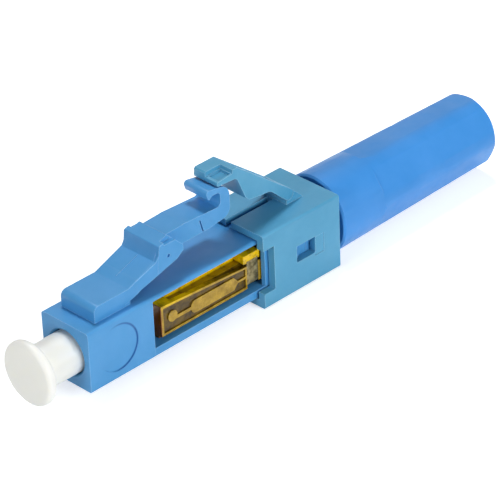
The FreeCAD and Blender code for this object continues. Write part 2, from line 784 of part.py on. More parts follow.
def make_splice_cover():
    body = new_body("splice_cover")
    side = "trough_half - cover_side_gap"
    under = "fibre_radius + groove_gap"
    pad(body, "lid", "end", [
        ("0 - (" + side + ")", under),
        (side, under),
        (side, "cover_flange_top"),
        ("cover_key_width / 2", "cover_flange_top"),
        ("cover_key_width / 2", "cover_top", "0.15"),
        ("0 - cover_key_width / 2", "cover_top", "0.15"),
        ("0 - cover_key_width / 2", "cover_flange_top"),
        ("0 - (" + side + ")", "cover_flange_top"),
    ], "cover_end - cover_front", offset="cover_front", both=False)
    pad(body, "ears", "side",
        rectangle("ear_front", "ear_bottom", "cover_end", "ear_top", "0.08"), "2 * splice_half")
    for hand in ("", "0 - "):
        pocket(body, "clip_slot_" + ("far" if not hand else "near"), "plan",
               [("clip_front - clip_gap", hand + "(splice_half - clip_sheet - clip_gap)"),
                ("clip_front + clip_width + clip_gap", hand + "(splice_half - clip_sheet - clip_gap)"),
                ("clip_front + clip_width + clip_gap", hand + "(splice_half + 1)"),
                ("clip_front - clip_gap", hand + "(splice_half + 1)")],
               "0.14", offset="ear_bottom - 0.01", both=False, flip=True)
    return body


def make_splice_clip():
    body = new_body("splice_clip")
    inner = "splice_half - clip_sheet"
    pad(body, "channel", "end", [
        ("0 - splice_half", "heel_up", "clip_sheet"),
        ("splice_half", "heel_up", "clip_sheet"),
        ("splice_half", "ear_bottom + 0.1"),
        (inner, "ear_bottom + 0.1"),
        (inner, "heel_up + clip_sheet"),
        ("0 - (" + inner + ")", "heel_up + clip_sheet"),
        ("0 - (" + inner + ")", "ear_bottom + 0.1"),
        ("0 - splice_half", "ear_bottom + 0.1"),
    ], "clip_width", offset="clip_front", both=False)
    return body


# --- float spring ------------------------------------------------------------------------------

def make_float_spring():
    helix = doc.addObject("Part::Helix", "spring_path")
    bind(helix, "Radius", "spring_radius")
    bind(helix, "Height", "spring_end - spring_start - 2 * spring_wire")
    bind(helix, "Pitch", "(spring_end - spring_start - 2 * spring_wire) / spring_turns")
    helix.Placement = FreeCAD.Placement(Vector(), FreeCAD.Rotation(Vector(0, 1, 0), 90))
    bind(helix, "Placement.Base.x", "spring_start + spring_wire")
    section = doc.addObject("Part::RegularPolygon", "spring_section")
    section.Polygon = 6
    bind(section, "Circumradius", "spring_wire")
    section.Placement = FreeCAD.Placement(Vector(), FreeCAD.Rotation(Vector(1, 0, 0), 90))
    bind(section, "Placement.Base.x", "spring_start + spring_wire")
    bind(section, "Placement.Base.z", "0 - spring_radius")
    spring = doc.addObject("Part::Sweep", "float_spring")
    spring.Label = "float_spring"
    spring.Sections = [section]
    spring.Spine = (helix, ["Edge1"])
    spring.Solid = True
    spring.Frenet = True
    return spring


# --- backbone: spring cup, collar held between the housings, and the threaded barrel ---------------

def make_backbone():
    body = new_body("backbone")
    turn(body, "Revolution", "stem", [
        ("cup_front", "cup_radius - cup_wall"),
        ("cup_floor", "cup_radius - cup_wall"),
        ("cup_floor", "guide_radius"),
        ("barrel_end", "guide_radius"),
        ("barrel_end", "barrel_radius - barrel_bevel"),
        ("barrel_end - barrel_bevel", "barrel_radius"),
        ("collar_start + collar_length / 2", "barrel_radius"),
        ("collar_start + collar_length / 2", "cup_radius"),
        ("cup_front + barrel_bevel", "cup_radius"),
        ("cup_front", "cup_radius - barrel_bevel"),
    ])
    pad(body, "collar", "end",
        rectangle("0 - plug_half", "0 - plug_half", "plug_half", "plug_half", "plug_edge"),
        "collar_length", offset="collar_start", both=False)
    bore(body, "fibre_way", "cup_floor - 0.1", "barrel_end + 1", "guide_radius")
    turn(body, "Groove", "cable_mouth", [
        ("barrel_end - mouth_length - mouth_funnel", "guide_radius - 0.05"),
        ("barrel_end + 0.1", "guide_radius - 0.05"),
        ("barrel_end + 0.1", "cable_bore_radius"),
        ("barrel_end - mouth_length", "cable_bore_radius"),
    ])
    return body


# --- cable collet and tail nut -------------------------------------------------------------------

def make_cable_collet():
    body = new_body("cable_collet")
    turn(body, "Revolution", "sleeve", [
        ("collet_front", "cable_bore_radius"),
        ("collet_end", "cable_bore_radius"),
        ("collet_end", "collet_rear_radius"),
        ("collet_front + collet_land", "collet_front_radius"),
        ("collet_front", "collet_front_radius"),
    ])
    for view in ("side", "plan"):
        pocket(body, "slits_" + view, view,
               rectangle("collet_end - collet_slit_length", "0 - collet_slit / 2",
                         "collet_end + 1", "collet_slit / 2"),
               "3 * collet_front_radius")
    return body


def make_tail_nut():
    body = new_body("tail_nut")
    cone_front = "collet_front + collet_land"
    turn(body, "Revolution", "shell", [
        ("nut_front", "nut_bore_radius + 0.15"),
        ("nut_front + 0.15", "nut_bore_radius"),
        (cone_front, "nut_bore_radius"),
        (cone_front, "collet_front_radius + collet_gap"),
        ("collet_end + seat_gap", "collet_rear_radius + collet_gap"),
        ("collet_end + seat_gap", "cable_bore_radius"),
        ("nut_end - cable_flare", "cable_bore_radius"),
        ("nut_end", "cable_bore_radius + cable_flare"),
        ("nut_end", "nut_rear_radius - nut_edge"),
        ("nut_end - nut_edge", "nut_rear_radius"),
        ("nut_front + nut_front_edge", "nut_front_radius"),
        ("nut_front", "nut_front_radius - nut_front_edge"),
    ])
    flat_front = "nut_front + flat_start"
    taper = "(nut_front_radius - nut_rear_radius) / nut_length"
    keep = "cos(flat_angle / 2)"
    front_up = f"(nut_front_radius - {taper} * flat_start) * {keep} - flat_extra_depth"
    rear_up = f"(nut_rear_radius - {taper} * 1) * {keep} - flat_extra_depth"
    pocket(body, "grip_flat", "side", [
        (flat_front, front_up, "0.3"),
        ("nut_end + 1", rear_up),
        ("nut_end + 1", "nut_front_radius + 1"),
        (flat_front + " - 0.6", "nut_front_radius + 1"),
    ], "nut_front_radius * 2")
    flats = body.newObject("PartDesign::PolarPattern", "grip_flats")
    flats.Originals = [body.getObject("grip_flat")]
    flats.Axis = (plane_of(body, "X_Axis"), [""])
    flats.Angle = 360
    bind(flats, "Occurrences", "flat_count")
    body.Tip = flats
    body.Placement = FreeCAD.Placement(Vector(), FreeCAD.Rotation(Vector(-1, 0, 0), 0))
    bind(body, "Placement.Rotation.Angle", "flat_turn")
    return body


# --- dust cap ------------------------------------------------------------------------------------

def make_dust_cap():
    body = new_body("dust_cap")
    blind = "0 - ferrule_tip_out - cap_end_gap"
    flange_back = "0 - cap_front + cap_flange_length"
    turn(body, "Revolution", "cap", [
        ("0 - cap_front", "0"),
        (blind, "0"),
        (blind, "cap_bore_radius"),
        ("cap_insertion", "cap_bore_radius"),
        ("cap_insertion", "cap_barrel_radius - cap_lead"),
        ("cap_insertion - cap_lead", "cap_barrel_radius"),
        (flange_back + " + cap_fillet", "cap_barrel_radius"),
        (flange_back, "cap_barrel_radius + cap_fillet"),
        (flange_back, "cap_flange_radius - cap_edge"),
        (flange_back + " - cap_edge", "cap_flange_radius"),
        ("0 - cap_front + cap_edge", "cap_flange_radius"),
        ("0 - cap_front", "cap_flange_radius - cap_edge"),
    ])
    return body


pieces = [make() for make in (
    make_dust_cap, make_plug_housing, make_latch_lever, make_ferrule, make_ferrule_flange,
    make_fibre_stub, make_splice_base, make_splice_cover, make_splice_clip, make_float_spring,
    make_backbone, make_rear_housing, make_trigger_lever, make_cable_collet, make_tail_nut)]
doc.recompute()

for item in doc.Objects:
    if "Invalid" in item.State or "Error" in item.State:
        raise RuntimeError(f"{item.Label} failed: {item.State}")
for piece in pieces:
    if piece.Shape.isNull() or not piece.Shape.isValid() or len(piece.Shape.Solids) != 1:
        raise RuntimeError(f"{piece.Label} is not one valid solid")

os.makedirs("parts", exist_ok=True)
for piece in pieces:
    piece.Shape.exportStep(f"parts/{piece.Label}.step")
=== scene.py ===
import math

import bmesh
import bpy
from mathutils import Matrix, Vector


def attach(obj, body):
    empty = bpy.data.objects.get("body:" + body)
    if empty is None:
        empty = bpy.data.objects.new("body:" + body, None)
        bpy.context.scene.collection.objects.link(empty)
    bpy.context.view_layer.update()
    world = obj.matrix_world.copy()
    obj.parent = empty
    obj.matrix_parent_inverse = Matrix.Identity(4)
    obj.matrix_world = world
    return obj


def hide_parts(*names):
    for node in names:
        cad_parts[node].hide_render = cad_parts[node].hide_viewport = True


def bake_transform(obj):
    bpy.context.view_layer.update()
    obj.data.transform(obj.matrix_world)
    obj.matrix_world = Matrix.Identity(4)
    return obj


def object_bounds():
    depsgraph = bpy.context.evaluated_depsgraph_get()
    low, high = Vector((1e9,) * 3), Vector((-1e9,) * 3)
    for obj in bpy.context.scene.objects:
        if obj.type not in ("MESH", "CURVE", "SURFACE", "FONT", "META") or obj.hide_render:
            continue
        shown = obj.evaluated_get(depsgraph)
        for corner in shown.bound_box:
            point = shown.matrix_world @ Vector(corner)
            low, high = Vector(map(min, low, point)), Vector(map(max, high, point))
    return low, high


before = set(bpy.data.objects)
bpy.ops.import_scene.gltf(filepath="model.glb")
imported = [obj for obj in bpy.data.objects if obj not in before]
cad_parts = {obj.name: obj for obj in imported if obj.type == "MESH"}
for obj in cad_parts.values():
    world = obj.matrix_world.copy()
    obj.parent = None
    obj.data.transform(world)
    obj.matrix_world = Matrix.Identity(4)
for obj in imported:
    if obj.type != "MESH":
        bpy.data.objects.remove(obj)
CAD_BOX = [list(corner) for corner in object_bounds()]


# --- Ferrule, flange and factory fibre ------------------------------------------------------------
# The ferrule is a ground zirconia tube with a glass fibre bonded in its bore.  It is pressed into a
# turned steel flange, which seats against the inside of the plug's nose.

MM = 0.001
SAME_POINT = 0.0005 * MM
SAME_PLANE = math.radians(0.4)
SHARP_CORNER = math.radians(32)
FLAT_FACE_PULL = 80
FERRULE_EDGE = 0.04 * MM
FLANGE_EDGE = 0.05 * MM


def soften(piece, edge, segments=2):
    """Round the moulded or turned edges of a solid by the given radius."""
    for face in piece.data.polygons:
        face.use_smooth = True
    weld = piece.modifiers.new("joined_faces", "WELD")
    weld.merge_threshold = SAME_POINT
    flat = piece.modifiers.new("flat_faces", "DECIMATE")
    flat.decimate_type = "DISSOLVE"
    flat.angle_limit = SAME_PLANE
    bevel = piece.modifiers.new("rounded_edges", "BEVEL")
    bevel.limit_method = "ANGLE"
    bevel.angle_limit = SHARP_CORNER
    bevel.width = edge
    bevel.segments = segments
    bevel.miter_outer = "MITER_ARC"
    bevel.use_clamp_overlap = True
    bevel.harden_normals = True
    normals = piece.modifiers.new("even_shading", "WEIGHTED_NORMAL")
    normals.keep_sharp = True
    normals.weight = FLAT_FACE_PULL


def finish_with(piece, material):
    """Give a piece its material."""
    piece.data.materials.clear()
    piece.data.materials.append(material)


def new_material(name):
    """New node material, with its node tree and its shader."""
    material = bpy.data.materials.new(name)
    material.use_nodes = True
    tree = material.node_tree
    return material, tree, tree.nodes["Principled BSDF"]


def set_inputs(node, **values):
    """Set a node's inputs by name, with underscores for the spaces."""
    for key, value in values.items():
        node.inputs[key.replace("_", " ")].default_value = value


def add(tree, kind, **values):
    """New node with its inputs set by name."""
    node = tree.nodes.new(kind)
    set_inputs(node, **values)
    return node


def relief(tree, shader, pattern, height, strength=1.0):
    """Raise the surface by a pattern on the piece's own coordinates, and give those back."""
    place = tree.nodes.new("ShaderNodeTexCoord")
    bump = add(tree, "ShaderNodeBump", Strength=strength, Distance=height)
    tree.links.new(place.outputs["Object"], pattern.inputs["Vector"])
    tree.links.new(pattern.outputs["Fac"], bump.inputs["Height"])
    tree.links.new(bump.outputs["Normal"], shader.inputs["Normal"])
    return place


def grain(tree, shader, scale, height, detail=3.0):
    """Fine, even texture of a moulded, ground or rolled face."""
    noise = add(tree, "ShaderNodeTexNoise", Scale=scale, Detail=detail)
    return relief(tree, shader, noise, height)


def zirconia():
    """Polished white ceramic that lets a little light into its skin."""
    material, tree, shader = new_material("zirconia")
    set_inputs(shader, Base_Color=(0.9, 0.9, 0.87, 1), Roughness=0.12,
               Subsurface_Weight=0.3, Subsurface_Scale=0.4 * MM)
    grain(tree, shader, scale=9000, height=0.0004 * MM)
    return material


def turned_steel():
    """Bright steel with fine rings left by the turning tool."""
    material, tree, shader = new_material("turned_steel")
    set_inputs(shader, Base_Color=(0.62, 0.6, 0.57, 1), Metallic=1.0, Roughness=0.28)
    rings = add(tree, "ShaderNodeTexWave", Scale=2600, Distortion=0.6, Detail=2)
    relief(tree, shader, rings, height=0.002 * MM, strength=0.5)
    return material


def silica():
    """Bare glass fibre."""
    material, tree, shader = new_material("silica")
    set_inputs(shader, Base_Color=(0.93, 0.96, 0.98, 1), Roughness=0.03, Transmission_Weight=0.9)
    grain(tree, shader, scale=20000, height=0.0001 * MM)
    return material


STEEL = turned_steel()
finish_with(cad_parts["ferrule"], zirconia())
finish_with(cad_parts["ferrule_flange"], STEEL)
finish_with(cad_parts["fibre_stub"], silica())
soften(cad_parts["ferrule"], FERRULE_EDGE)
soften(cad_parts["ferrule_flange"], FLANGE_EDGE)


# --- Splice holder: base, cover and clip ----------------------------------------------------------
# Two clear amber mouldings hold the fibre ends in a vee groove between them.  A bent spring-metal
# clip at the rear pinches the cover on to the base.

SPLICE_EDGE = 0.05 * MM
CLIP_EDGE = 0.03 * MM
CLIP_DARK = (0.13, 0.10, 0.045)
CLIP_BRIGHT = (0.42, 0.34, 0.17)
CLIP_CLOUD = (0.38, 0.66)

# The amber's deep and flat tones, which cloud together on its flats, the painted highlight on its
# raised rims, the painted glints on those rims, the painted gold highlight along its upper edges
# and the painted glow of light through its front end.
AMBER_DEEP = (0.045, 0.024, 0.001)
AMBER_FLAT = (0.17, 0.10, 0.001)
AMBER_RIM_HIGHLIGHT = (0.30, 0.175, 0.006)
AMBER_PAINTED_GLINT = (0.66, 0.42, 0.035)
AMBER_GOLD_HIGHLIGHT = (0.95, 0.6, 0.0)
AMBER_END_GLOW = (0.30, 0.085, 0.002)

# How much of the cloudy pattern goes into each of those, and where the painted rim highlight, the
# painted gold highlight along the upper edges and the painted glow on the front end begin: out from
# the middle plane, up from the fibre and back from the nose.
FLAT_CLOUD = (0.35, 0.68)
RIM_GLINT_CLOUD = (0.3, 0.72)
GOLD_HIGHLIGHT_CLOUD = (0.22, 0.5)
RIM_HIGHLIGHT_OUT = (1.72 * MM, 1.79 * MM)
GOLD_HIGHLIGHT_UP = (0.55 * MM, 0.8 * MM)
END_GLOW_BACK = (6.98 * MM, 6.93 * MM)


def two_tone(tree, place, pattern, stops, colours):
    """Colour that goes from one tone to another with a cloudy pattern."""
    tone = tree.nodes.new("ShaderNodeValToRGB")
    for index, (stop, colour) in enumerate(zip(stops, colours)):
        tone.color_ramp.elements[index].position = stop
        tone.color_ramp.elements[index].color = (*colour, 1)
    tree.links.new(place.outputs["Object"], pattern.inputs["Vector"])
    tree.links.new(pattern.outputs["Fac"], tone.inputs["Fac"])
    return tone.outputs["Color"]


def blend_colour(tree, share, low, high):
    """Colour that runs from low to high with a share from nought to one."""
    mix = tree.nodes.new("ShaderNodeMix")
    mix.data_type = "RGBA"
    inputs = {socket.identifier: socket for socket in mix.inputs}
    outputs = {socket.identifier: socket for socket in mix.outputs}
    for end, value in (("A_Color", low), ("B_Color", high)):
        if isinstance(value, tuple):
            inputs[end].default_value = (*value, 1)
        else:
            tree.links.new(value, inputs[end])
    tree.links.new(share, inputs["Factor_Float"])
    return outputs["Result_Color"]


def ramp_between(tree, value, start, end):
    """Nought on the start's side, one on the end's, and even steps between."""
    ramp = add(tree, "ShaderNodeMapRange", From_Min=start, From_Max=end)
    tree.links.new(value, ramp.inputs["Value"])
    return ramp.outputs["Result"]


def reckon(tree, operation, *values):
    """Result of a sum whose values are plain numbers or other nodes' outputs."""
    step = tree.nodes.new("ShaderNodeMath")
    step.operation = operation
    for socket, value in zip(step.inputs, values):
        if isinstance(value, float):
            socket.default_value = value
        else:
            tree.links.new(value, socket)
    return step.outputs[0]


def along_out_up(tree, place):
    """Distances back from the nose, out from the middle plane on either side, and up."""
    axes = tree.nodes.new("ShaderNodeSeparateXYZ")
    tree.links.new(place.outputs["Object"], axes.inputs["Vector"])
    return axes.outputs["X"], reckon(tree, "ABSOLUTE", axes.outputs["Y"]), axes.outputs["Z"]


def spring_brass():
    """Rolled spring metal, dulled and a little mottled."""
    material, tree, shader = new_material("spring_brass")
    set_inputs(shader, Metallic=0.9, Roughness=0.42)
    place = grain(tree, shader, scale=3600, height=0.012 * MM, detail=5.0)
    mottle = add(tree, "ShaderNodeTexNoise", Scale=2400, Detail=4)
    tone = two_tone(tree, place, mottle, CLIP_CLOUD, (CLIP_DARK, CLIP_BRIGHT))
    tree.links.new(tone, shader.inputs["Base Color"])
    return material


def clear_amber():
    """Amber plastic, cloudy on its flats, with a painted tan highlight and painted glints on its
    raised rims, a painted gold highlight along its upper edges and a painted glow at its front end.
    """
    material, tree, shader = new_material("clear_amber")
    set_inputs(shader, Roughness=0.2, IOR=1.5, Transmission_Weight=0.1, Specular_IOR_Level=0.3)
    place = grain(tree, shader, scale=1900, height=0.03 * MM, detail=4.0)
    along, out, up = along_out_up(tree, place)
    noise = add(tree, "ShaderNodeTexNoise", Scale=1500, Detail=6, Roughness=0.65)
    tree.links.new(place.outputs["Object"], noise.inputs["Vector"])
    cloud = noise.outputs["Fac"]
    flat = blend_colour(tree, ramp_between(tree, cloud, *FLAT_CLOUD), AMBER_DEEP, AMBER_FLAT)
    # Painted highlight on the raised rims, clouded with painted glints.
    rim = blend_colour(tree, ramp_between(tree, cloud, *RIM_GLINT_CLOUD), AMBER_RIM_HIGHLIGHT, AMBER_PAINTED_GLINT)
    body = blend_colour(tree, ramp_between(tree, out, *RIM_HIGHLIGHT_OUT), flat, rim)
    # Painted gold highlight along the upper edges.
    gold = blend_colour(tree, ramp_between(tree, cloud, *GOLD_HIGHLIGHT_CLOUD), AMBER_FLAT, AMBER_GOLD_HIGHLIGHT)
    upper = blend_colour(tree, ramp_between(tree, up, *GOLD_HIGHLIGHT_UP), body, gold)
    # Painted glow of light through the amber on its front end face.
    whole = blend_colour(tree, ramp_between(tree, along, *END_GLOW_BACK), upper, AMBER_END_GLOW)
    tree.links.new(whole, shader.inputs["Base Color"])
    return material


AMBER = clear_amber()
for name in ("splice_base", "splice_cover"):
    finish_with(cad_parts[name], AMBER)
    soften(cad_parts[name], SPLICE_EDGE)
finish_with(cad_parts["splice_clip"], spring_brass())
soften(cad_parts["splice_clip"], CLIP_EDGE)


# --- Backbone, float spring and plug housing ------------------------------------------------------
# The plug housing is a square nose and a windowed sleeve in satin blue plastic.  The backbone snaps
# into its rear end and holds the coil spring that presses the splice holder forward.

BACKBONE_EDGE = 0.04 * MM
HOUSING_EDGE = 0.08 * MM
CRISP_ROUND = 3

# Each ejector pin leaves a shallow ring on the flank of the nose; painted shade darkens the rear of
# its step, where it is deepest.
MARK_MIDDLE = (2.6 * MM, 0, 0.1 * MM)
MARK_STEP_INSIDE = (1.62 * MM, 1.70 * MM)
MARK_STEP_OUTSIDE = (1.84 * MM, 1.77 * MM)
MARK_RIM = (1.86 * MM, 1.95 * MM)
MARK_REAR = (1.9 * MM, 3.0 * MM)
MARK_FLANK = (2.15 * MM, 2.18 * MM)
MARK_SHADE_STRENGTH = 0.85

# Painted highlight makes the corners pale: how far in, how sharply a face must turn there, and how
# strongly.
EDGE_HIGHLIGHT_WIDTH = 0.11 * MM
EDGE_HIGHLIGHT_TURN = (0.97, 0.8)
EDGE_HIGHLIGHT_STRENGTH = 0.8
EDGE_HIGHLIGHT_SAMPLES = 4

# Moulding leaves faint streaks in the colour and patches in the gloss.
FLOW_CLOUD = (0.3, 0.75)
GLOSS_CLOUD = (0.3, 0.7)
GLOSS_SHARPER = 0.06
GLOSS_DULLER = 0.08


def mark_distance(tree, place):
    """Distance from the middle of the ejector pins' marks, seen from the side."""
    flat = tree.nodes.new("ShaderNodeVectorMath")
    flat.operation = "MULTIPLY"
    flat.inputs[1].default_value = (1, 0, 1)
    away = tree.nodes.new("ShaderNodeVectorMath")
    away.operation = "DISTANCE"
    away.inputs[1].default_value = MARK_MIDDLE
    tree.links.new(place.outputs["Object"], flat.inputs[0])
    tree.links.new(flat.outputs["Vector"], away.inputs[0])
    return away.outputs["Value"]


def painted_ring_shade(tree, place):
    """Painted shade along the rear of each ejector ring, where its step is deepest."""
    away = mark_distance(tree, place)
    along, out, _ = along_out_up(tree, place)
    ring = reckon(tree, "MULTIPLY", ramp_between(tree, away, *MARK_STEP_INSIDE),
                  ramp_between(tree, away, *MARK_STEP_OUTSIDE))
    rear = reckon(tree, "MULTIPLY", ring, ramp_between(tree, along, *MARK_REAR))
    flank = reckon(tree, "MULTIPLY", rear, ramp_between(tree, out, *MARK_FLANK))
    return reckon(tree, "MULTIPLY", flank, MARK_SHADE_STRENGTH)


def painted_edge_highlight(tree, place):
    """Painted highlight, pale on the corners of a moulding, but not round the ejector marks."""
    rounded = add(tree, "ShaderNodeBevel", Radius=EDGE_HIGHLIGHT_WIDTH)
    rounded.samples = EDGE_HIGHLIGHT_SAMPLES
    true_face = tree.nodes.new("ShaderNodeNewGeometry")
    facing = tree.nodes.new("ShaderNodeVectorMath")
    facing.operation = "DOT_PRODUCT"
    tree.links.new(rounded.outputs["Normal"], facing.inputs[0])
    tree.links.new(true_face.outputs["Normal"], facing.inputs[1])
    highlight_share = reckon(tree, "MULTIPLY", ramp_between(tree, facing.outputs["Value"], *EDGE_HIGHLIGHT_TURN),
                 EDGE_HIGHLIGHT_STRENGTH)
    beyond_marks = ramp_between(tree, mark_distance(tree, place), *MARK_RIM)
    return reckon(tree, "MULTIPLY", highlight_share, beyond_marks)


def moulded_blue(name, colour, pale, edge_highlight, ring_shade, roughness):
    """Satin moulded plastic: faint flow marks in its colour, painted shade in its ejector rings, a
    painted highlight on its corners, fine tool texture.
    """
    material, tree, shader = new_material(name)
    set_inputs(shader, IOR=1.52, Specular_IOR_Level=0.3, Subsurface_Weight=0.1,
               Subsurface_Scale=0.25 * MM, Subsurface_Radius=(0.4, 0.8, 1.0))
    place = grain(tree, shader, scale=5200, height=0.0035 * MM)
    flow = add(tree, "ShaderNodeTexNoise", Scale=260, Detail=5, Roughness=0.6)
    tone = two_tone(tree, place, flow, FLOW_CLOUD, (colour, pale))
    # Painted shade in the rear of each ejector ring's step.
    ring_shaded = blend_colour(tree, painted_ring_shade(tree, place), tone, ring_shade)
    # Painted highlight on the corners.
    highlighted = blend_colour(tree, painted_edge_highlight(tree, place), ring_shaded, edge_highlight)
    tree.links.new(highlighted, shader.inputs["Base Color"])
    dull = add(tree, "ShaderNodeTexNoise", Scale=900, Detail=3)
    gloss = add(tree, "ShaderNodeMapRange", From_Min=GLOSS_CLOUD[0], From_Max=GLOSS_CLOUD[1],
                To_Min=roughness - GLOSS_SHARPER, To_Max=roughness + GLOSS_DULLER)
    tree.links.new(place.outputs["Object"], dull.inputs["Vector"])
    tree.links.new(dull.outputs["Fac"], gloss.inputs["Value"])
    tree.links.new(gloss.outputs["Result"], shader.inputs["Roughness"])
    return material


PLUG_BLUE = moulded_blue("plug_blue", colour=(0.055, 0.285, 0.60), pale=(0.085, 0.33, 0.67),
                         edge_highlight=(0.24, 0.50, 0.80), ring_shade=(0.01, 0.10, 0.34), roughness=0.36)
finish_with(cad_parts["float_spring"], STEEL)
finish_with(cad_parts["backbone"], PLUG_BLUE)
soften(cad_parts["backbone"], BACKBONE_EDGE)
finish_with(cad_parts["plug_housing"], PLUG_BLUE)
soften(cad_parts["plug_housing"], HOUSING_EDGE, CRISP_ROUND)


# --- Latch lever ----------------------------------------------------------------------------------
# The latch is a springy arm moulded on the nose in the same blue plastic, with two catch lugs that
# hold behind the socket's lip, and a curled finger end under the trigger.

# The arm keeps its full width down to its root, and widens a little towards the lugs.
LATCH_EDGE = 0.06 * MM
ARM_OUTLINE = ((4.45, 2.71), (7.4, 3.53), (7.3, 5.1), (6.87, 4.45), (4.35, 3.565))
ARM_INNER = 1.2
ARM_ROOT_HALF = 1.625
ARM_SPREAD = 0.02

# The mould's parting line shows as a fine ridge along the middle of the arm.
RIDGE = ((4.75, 3.70), (6.8, 4.43), (6.8, 4.455), (4.75, 3.74))
RIDGE_HALF = 0.03

# The root block's top is level as far as the bend, and the arm rises from there.  The web follows
# both a skin's thickness outside them, and dips under their surface at its two ends.
ROOT_TOP = 3.57
ARM_BEND = 4.35
ARM_RISE = 0.3636
WEB_SKIN = 0.01
WEB_DIP = 0.22
WEB_DIP_STEPS = 8
WEB_ROUND = 0.08
WEB_ENDS = (3.3, 5.8)
WEB_STEPS = 24
WEB_FOOT = 2.4
WEB_FOOT_START = 3.6
WEB_FOOT_RISE = 0.28


def closed_piece(name, points, faces):
    """Piece from its points in millimetres and its faces, turned to face outwards."""
    mesh = bpy.data.meshes.new(name)
    mesh.from_pydata([(x * MM, side * MM, z * MM) for x, side, z in points], [], faces)
    form = bmesh.new()
    form.from_mesh(mesh)
    bmesh.ops.recalc_face_normals(form, faces=form.faces)
    form.to_mesh(mesh)
    form.free()
    piece = bpy.data.objects.new(name, mesh)
    bpy.context.scene.collection.objects.link(piece)
    return piece


def prism(name, outline, inner, outer, spread=0.0):
    """Block with a side outline, whose outer face spreads away from the middle towards the rear."""
    count = len(outline)
    points = [(x, inner, z) for x, z in outline]
    points += [(x, outer + spread * (x - outline[0][0]), z) for x, z in outline]
    faces = [tuple(range(count)), tuple(reversed(range(count, 2 * count)))]
    faces += [(i, i + count, (i + 1) % count + count, (i + 1) % count) for i in range(count)]
    return closed_piece(name, points, faces)


def tidied(mesh):
    """Drop the triangulation of flat faces from a solid's mesh."""
    form = bmesh.new()
    form.from_mesh(mesh)
    bmesh.ops.remove_doubles(form, verts=form.verts, dist=SAME_POINT)
    bmesh.ops.dissolve_limit(form, angle_limit=SAME_PLANE, verts=form.verts, edges=form.edges)
    form.to_mesh(mesh)
    form.free()


def carved(piece, other, operation):
    """Fuse another solid into a piece, or cut it out, and take the other away."""
    change = piece.modifiers.new(operation.lower(), "BOOLEAN")
    change.operation = operation
    change.solver = "EXACT"
    change.object = other
    bpy.context.view_layer.update()
    view = bpy.context.evaluated_depsgraph_get()
    result = bpy.data.meshes.new_from_object(piece.evaluated_get(view))
    piece.modifiers.clear()
    piece.data = result
    bpy.data.objects.remove(other)
    tidied(piece.data)


def reshaped(name, node):
    """Piece that starts from a solid's own form."""
    piece = bpy.data.objects.new(name, node.data.copy())
    piece.matrix_world = node.matrix_world.copy()
    bpy.context.scene.collection.objects.link(piece)
    tidied(piece.data)
    return piece


def root_web():
    """Sleeve of the same moulding that runs unbroken from the root block into the arm."""
    corner = [(WEB_ROUND * (1 - math.sin(turn)), WEB_ROUND * (1 - math.cos(turn)))
              for turn in (0, math.pi / 6, math.pi / 3, math.pi / 2)]
    points = []
    for step in range(WEB_STEPS + 1):
        x = WEB_ENDS[0] + (WEB_ENDS[1] - WEB_ENDS[0]) * step / WEB_STEPS
        from_end = min(step, WEB_STEPS - step) / WEB_DIP_STEPS
        stand_off = WEB_SKIN - WEB_DIP * max(0.0, 1 - from_end) ** 2
        top = ROOT_TOP + ARM_RISE * max(0.0, x - ARM_BEND) + stand_off
        foot = WEB_FOOT + WEB_FOOT_RISE * (x - WEB_FOOT_START)
        half = ARM_ROOT_HALF + ARM_SPREAD * max(0.0, x - ARM_OUTLINE[0][0]) + stand_off
        ring = [(half, foot)] + [(half - out, top - down) for out, down in reversed(corner)]
        ring += [(-side, z) for side, z in reversed(ring)]
        points += [(x, side, z) for side, z in ring]
    count = len(ring)
    faces = []
    for start in range(0, WEB_STEPS * count, count):
        for i in range(count):
            j = (i + 1) % count
            faces.append((start + i, start + j, start + count + j, start + count + i))
    faces += [tuple(range(count)), tuple(reversed(range(WEB_STEPS * count, len(points))))]
    return closed_piece("latch_root_web", points, faces)


latch = reshaped("latch_arm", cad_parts["latch_lever"])
for sign in (-1, 1):
    flank = prism("arm_flank", ARM_OUTLINE, sign * ARM_INNER, sign * ARM_ROOT_HALF,
                  sign * ARM_SPREAD)
    carved(latch, flank, "UNION")
finish_with(latch, PLUG_BLUE)
soften(latch, LATCH_EDGE, CRISP_ROUND)
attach(latch, "latch")
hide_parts("latch_lever")

ridge = prism("latch_parting_ridge", RIDGE, -RIDGE_HALF, RIDGE_HALF)
finish_with(ridge, PLUG_BLUE)
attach(ridge, "latch")

web = root_web()
finish_with(web, PLUG_BLUE)
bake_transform(web)


# --- Rear housing and trigger ---------------------------------------------------------------------
# A square cap in a greener blue plastic snaps over the rear of the plug.  Its trigger arm reaches
# forward over the latch, so that a press on it works the latch and cables can't catch under it.

TRIGGER_EDGE = 0.06 * MM

# The tip's top is flat, and a raised block with a sloped front edge covers one half of it.
TIP_TOP = 7.9
TIP_START = 13.27
TIP_HALF = 1.125
CUT_FRONT = TIP_START - 1
CUT_REAR = TIP_START + 4
CUT_TOP = TIP_TOP + 1
ABOVE_TIP = ((CUT_FRONT, TIP_TOP), (CUT_REAR, TIP_TOP), (CUT_REAR, CUT_TOP), (CUT_FRONT, CUT_TOP))
BLOCK_FOOT = 7.3
BLOCK_FRONT = TIP_START + 0.02
BLOCK_SLOPE_FOOT = TIP_TOP - 0.12
BLOCK_SLOPE_TOP = TIP_START + 0.14
BLOCK_REAR = TIP_START + 1.7
BLOCK_SIDES = (0.04, TIP_HALF - 0.002)
TIP_BLOCK = ((BLOCK_FRONT, BLOCK_FOOT), (BLOCK_REAR, BLOCK_FOOT), (BLOCK_REAR, TIP_TOP),
             (BLOCK_SLOPE_TOP, TIP_TOP), (BLOCK_FRONT, BLOCK_SLOPE_FOOT))

